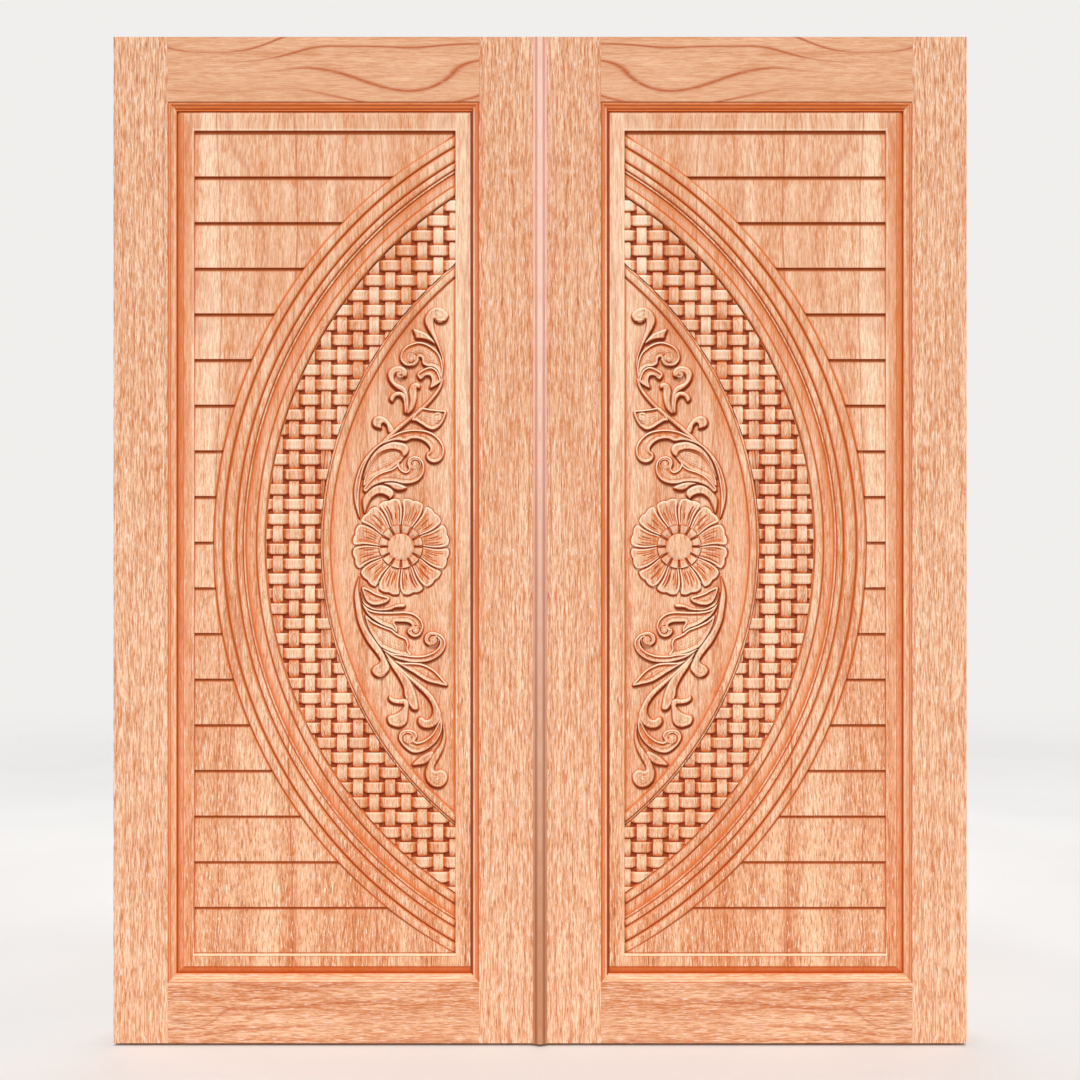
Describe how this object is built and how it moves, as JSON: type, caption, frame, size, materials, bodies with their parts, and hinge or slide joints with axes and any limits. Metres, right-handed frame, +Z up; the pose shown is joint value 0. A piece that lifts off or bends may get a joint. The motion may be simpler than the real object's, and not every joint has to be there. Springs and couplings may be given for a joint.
{
  "type": "double door",
  "caption": "Carved wooden double door with its frame. Each leaf swings outward on lift-off hinges and holds a panel carved with a fan, lapped slats, basket weave, flower and scrolls.",
  "frame": {"origin": "centre of the whole door's box, on the floor under the frame's jambs", "axes": "+X to the right seen from the front, -Y out of the carved front, +Z up"},
  "size_m": [1.8, 0.147, 2.116],
  "materials": {
    "teak_leaf": "planed raw teak, pale orange, no varnish",
    "teak_panel": "carved raw teak, oranger in the hollows, no varnish",
    "teak_frame": "planed raw teak, no varnish",
    "hinge_steel": "plain brushed steel"
  },
  "bodies": {
    "frame": {"frame_head": "teak_frame", "left_jamb": "teak_frame", "left_hinge_pintle_lower": "hinge_steel", "left_hinge_pintle_middle": "hinge_steel", "left_hinge_pintle_upper": "hinge_steel", "right_jamb": "teak_frame", "right_hinge_pintle_lower": "hinge_steel", "right_hinge_pintle_middle": "hinge_steel", "right_hinge_pintle_upper": "hinge_steel"},
    "left_leaf": {"left_hinge_stile": "teak_leaf", "left_meeting_stile": "teak_leaf", "left_top_rail": "teak_leaf", "left_bottom_rail": "teak_leaf", "left_carved_panel": "teak_panel", "left_cover_strip": "teak_leaf", "left_hinge_side_moulding": "teak_leaf", "left_meeting_side_moulding": "teak_leaf", "left_top_moulding": "teak_leaf", "left_bottom_moulding": "teak_leaf", "left_hinge_eye_lower": "hinge_steel", "left_hinge_eye_middle": "hinge_steel", "left_hinge_eye_upper": "hinge_steel"},
    "right_leaf": {"right_hinge_stile": "teak_leaf", "right_meeting_stile": "teak_leaf", "right_top_rail": "teak_leaf", "right_bottom_rail": "teak_leaf", "right_carved_panel": "teak_panel", "right_cover_strip": "teak_leaf", "right_hinge_side_moulding": "teak_leaf", "right_meeting_side_moulding": "teak_leaf", "right_top_moulding": "teak_leaf", "right_bottom_moulding": "teak_leaf", "right_hinge_eye_lower": "hinge_steel", "right_hinge_eye_middle": "hinge_steel", "right_hinge_eye_upper": "hinge_steel"}
  },
  "joints": [
    {"name": "left_leaf_swing", "type": "hinge", "parent": "frame", "child": "left_leaf", "pos_m": [-0.893, -0.023, 1.056], "axis": [0, 0, -1], "range_deg": [0, 95]},
    {"name": "right_leaf_swing", "type": "hinge", "parent": "frame", "child": "right_leaf", "pos_m": [0.893, -0.023, 1.056], "axis": [0, 0, 1], "range_deg": [0, 95]}
  ]
}
